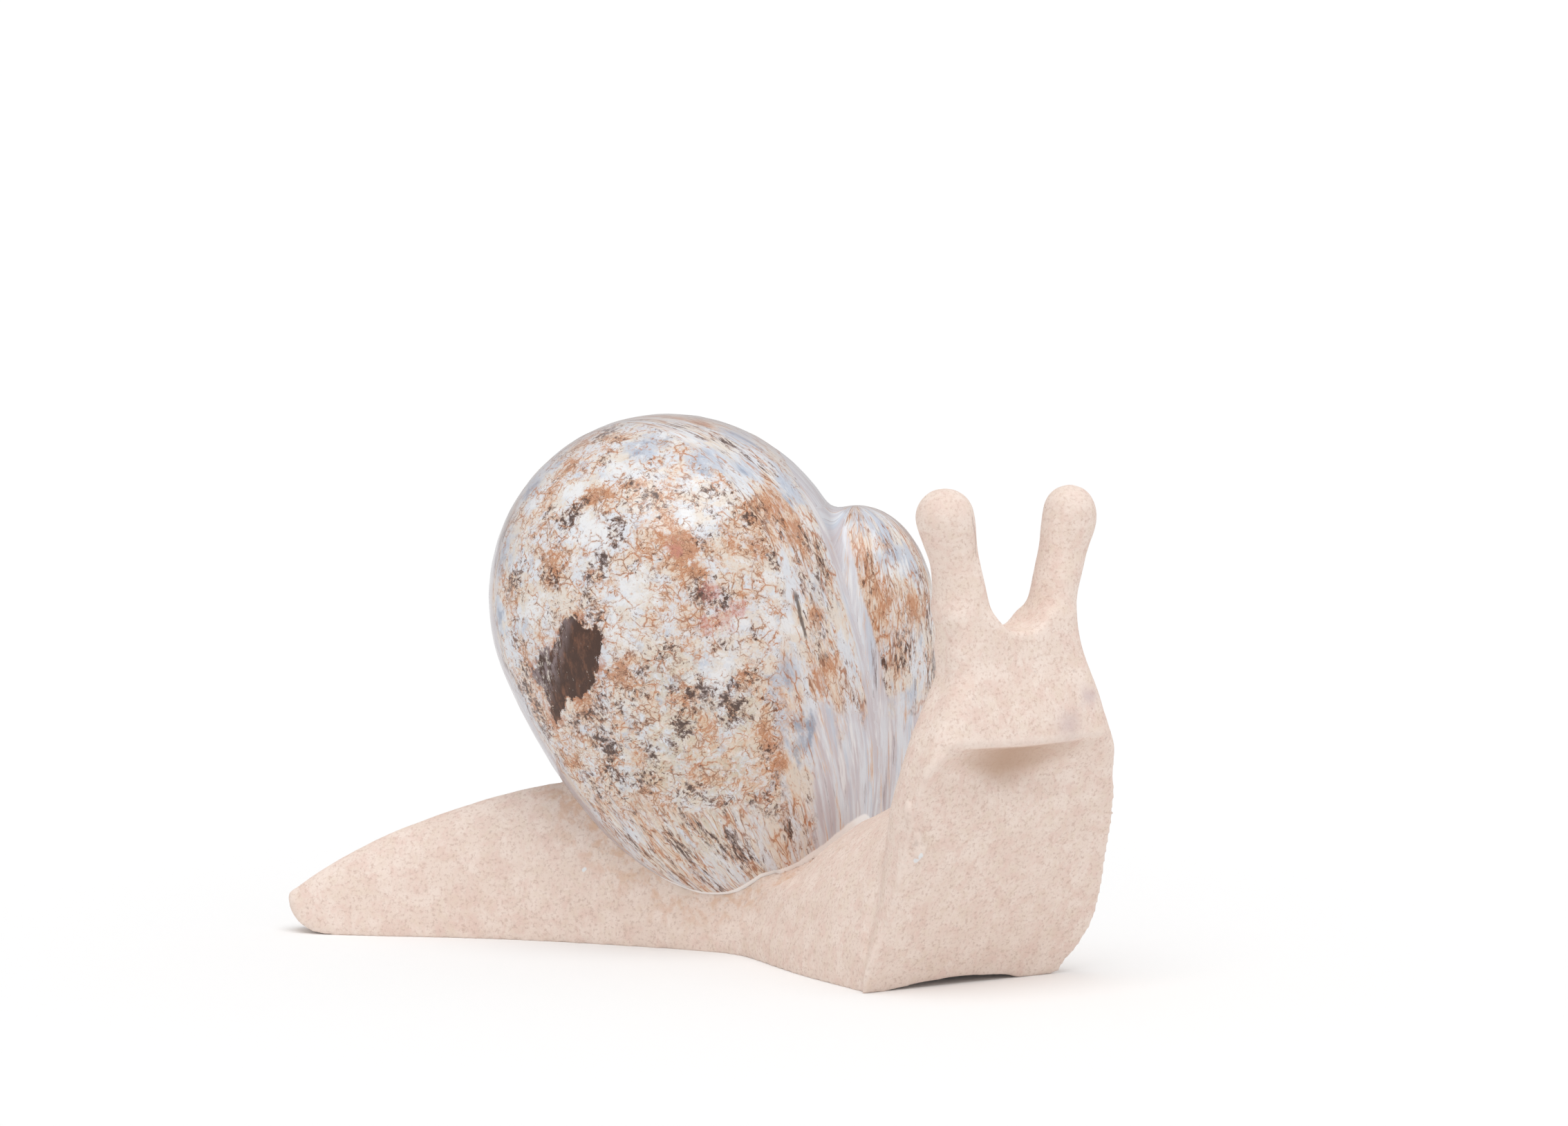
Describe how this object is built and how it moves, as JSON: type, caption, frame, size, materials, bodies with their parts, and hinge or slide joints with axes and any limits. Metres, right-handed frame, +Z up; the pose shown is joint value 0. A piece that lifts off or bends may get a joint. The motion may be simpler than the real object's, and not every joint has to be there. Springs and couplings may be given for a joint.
{
  "type": "snail figurine",
  "caption": "Ceramic snail figurine: bowed bare-clay foot and upright flat-chested head with eye stalks, carrying a mottled glazed egg-shaped shell.",
  "frame": {"origin": "centre of the whole figurine's bounding box, on the plane that it stands on", "axes": "+X from the tail towards the head along the longest extent, +Y to the snail's left, +Z up"},
  "size_m": [0.1648, 0.0801, 0.0972],
  "materials": {
    "bare_clay": "matte, speckled bisque",
    "shell_clay": "matte bisque under the glaze",
    "mottled_glaze": "glossy, mottled cream, grey-blue and rust"
  },
  "bodies": {
    "root": {"body": "bare_clay", "left_eye_stalk": "bare_clay", "right_eye_stalk": "bare_clay", "shell": "shell_clay", "glaze_coat": "mottled_glaze"}
  },
  "joints": []
}
